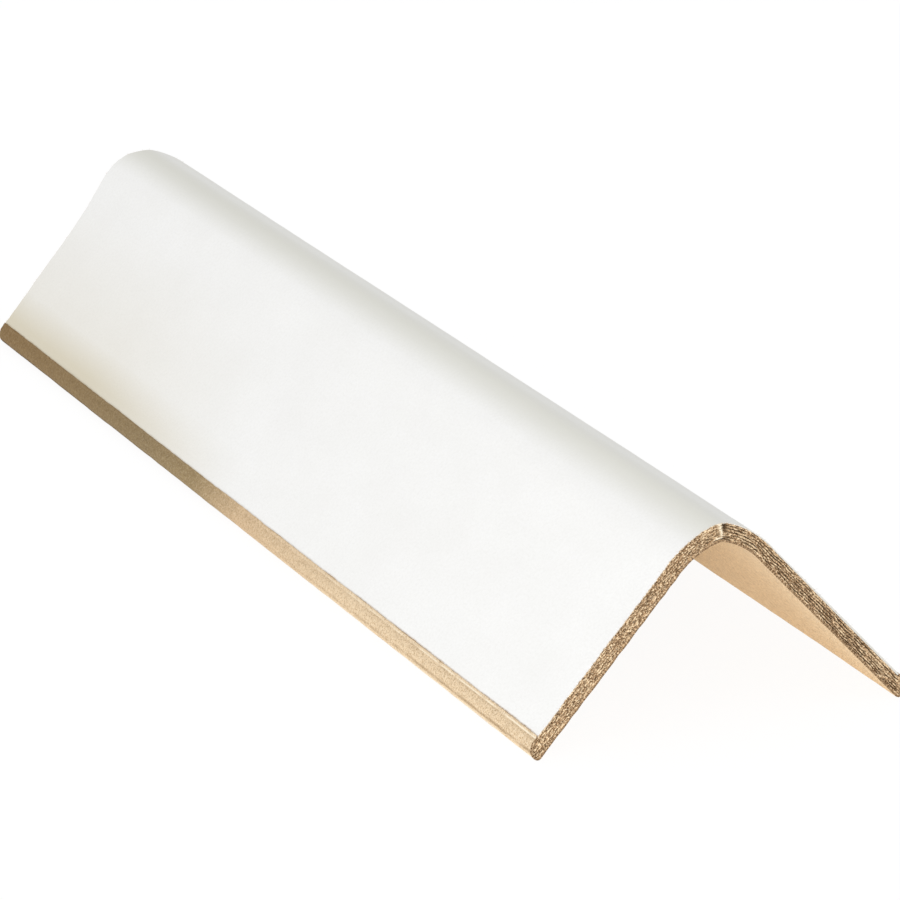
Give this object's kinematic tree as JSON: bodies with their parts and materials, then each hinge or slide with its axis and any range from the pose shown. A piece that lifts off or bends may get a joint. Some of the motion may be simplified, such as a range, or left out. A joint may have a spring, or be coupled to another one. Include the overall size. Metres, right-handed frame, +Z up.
{
  "type": "pallet edge protector",
  "caption": "Laminated paperboard angle that guards the corner of a stacked load under its straps; white paper outside, kraft liner inside, lapped round the rounded long edges.",
  "frame": {"origin": "centre of the footprint, on the surface that the two long edges stand on", "axes": "+Y along the ridge, +Z up through the ridge of the V, +X to the right of the near end"},
  "size_m": [0.0656, 0.25, 0.0338],
  "materials": {
    "ply_board": "raw cut edge of glued recycled board plies, fibrous and matte",
    "white_paper": "smooth uncoated white facing paper, matte with faint mottling",
    "kraft_paper": "natural kraft liner paper, matte with fine fibres"
  },
  "bodies": {
    "root": {"ply_core": "ply_board", "white_facing": "white_paper", "kraft_liner": "kraft_paper"}
  },
  "joints": []
}
